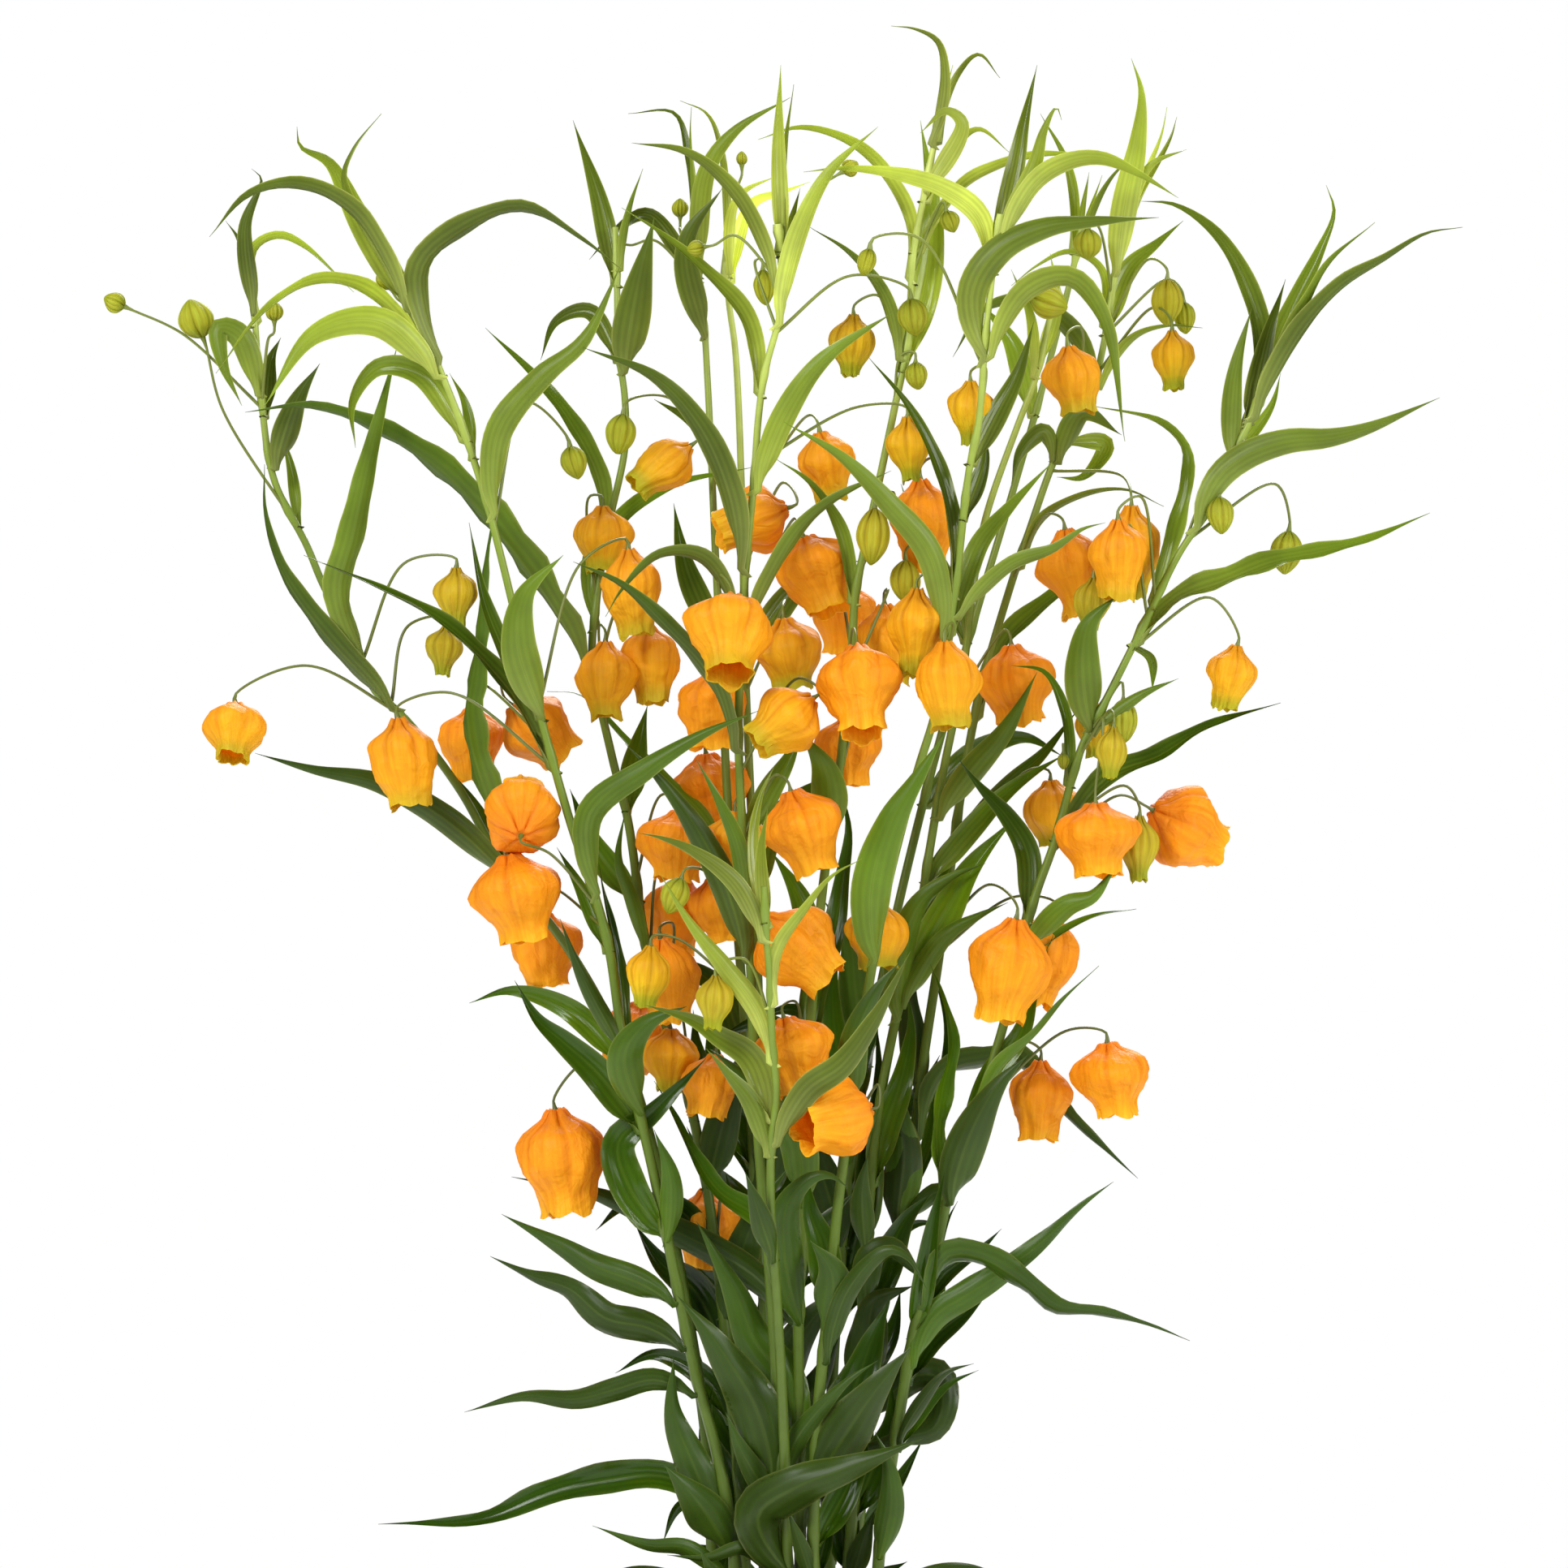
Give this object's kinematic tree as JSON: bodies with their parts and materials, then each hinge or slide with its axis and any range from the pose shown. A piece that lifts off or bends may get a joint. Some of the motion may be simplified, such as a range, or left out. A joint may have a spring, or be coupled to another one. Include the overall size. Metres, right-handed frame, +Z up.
{
  "type": "potted christmas bells plant",
  "caption": "Clay flower pot of leafy upright shoots that carry hanging orange lantern flowers, for a balcony, bed or table.",
  "frame": {"origin": "centre of the underside of the pot's foot, on the ground", "axes": "+Z up along the shoots, -Y towards the front of the plant, +X to its right as seen from the front"},
  "size_m": [0.4171, 0.1493, 0.6133],
  "materials": {
    "clay": "unglazed terracotta, matt",
    "potting_mix": null,
    "leaf": null,
    "petal": null
  },
  "bodies": {
    "root": {"bell_back_left_1": "petal", "bell_back_left_2": "petal", "bell_back_left_3": "petal", "bell_centre_1": "petal", "bell_centre_2": "petal", "bell_centre_3": "petal", "bell_centre_4": "petal", "bell_centre_left_1": "petal", "bell_centre_left_2": "petal", "bell_centre_left_3": "petal", "bell_centre_left_4": "petal", "bell_centre_right_1": "petal", "bell_centre_right_2": "petal", "bell_centre_right_3": "petal", "bell_centre_right_4": "petal", "bell_centre_right_5": "petal", "bell_far_left_1": "petal", "bell_far_left_2": "petal", "bell_far_right_1": "petal", "bell_far_right_2": "petal", "bell_far_right_3": "petal", "bell_far_right_4": "petal", "bell_far_right_5": "petal", "bell_left_1": "petal", "bell_left_2": "petal", "bell_left_3": "petal", "bell_left_4": "petal", "bell_left_5": "petal", "bell_left_6": "petal", "bell_left_7": "petal", "bell_left_back_1": "petal", "bell_left_back_2": "petal", "bell_left_back_3": "petal", "bell_left_back_4": "petal", "bell_left_back_5": "petal", "bell_left_back_6": "petal", "bell_left_back_7": "petal", "bell_right_1": "petal", "bell_right_2": "petal", "bell_right_3": "petal", "bell_right_4": "petal", "bell_right_front_1": "petal", "bell_right_front_2": "petal", "bell_right_front_3": "petal", "bell_right_mid_1": "petal", "pot": "clay", "shoot_back_left": "leaf", "shoot_back_right": "leaf", "shoot_centre": "leaf", "shoot_centre_left": "leaf", "shoot_centre_right": "leaf", "shoot_far_left": "leaf", "shoot_far_right": "leaf", "shoot_front": "leaf", "shoot_left": "leaf", "shoot_left_back": "leaf", "shoot_right": "leaf", "shoot_right_front": "leaf", "shoot_right_mid": "leaf", "soil": "potting_mix"}
  },
  "joints": []
}
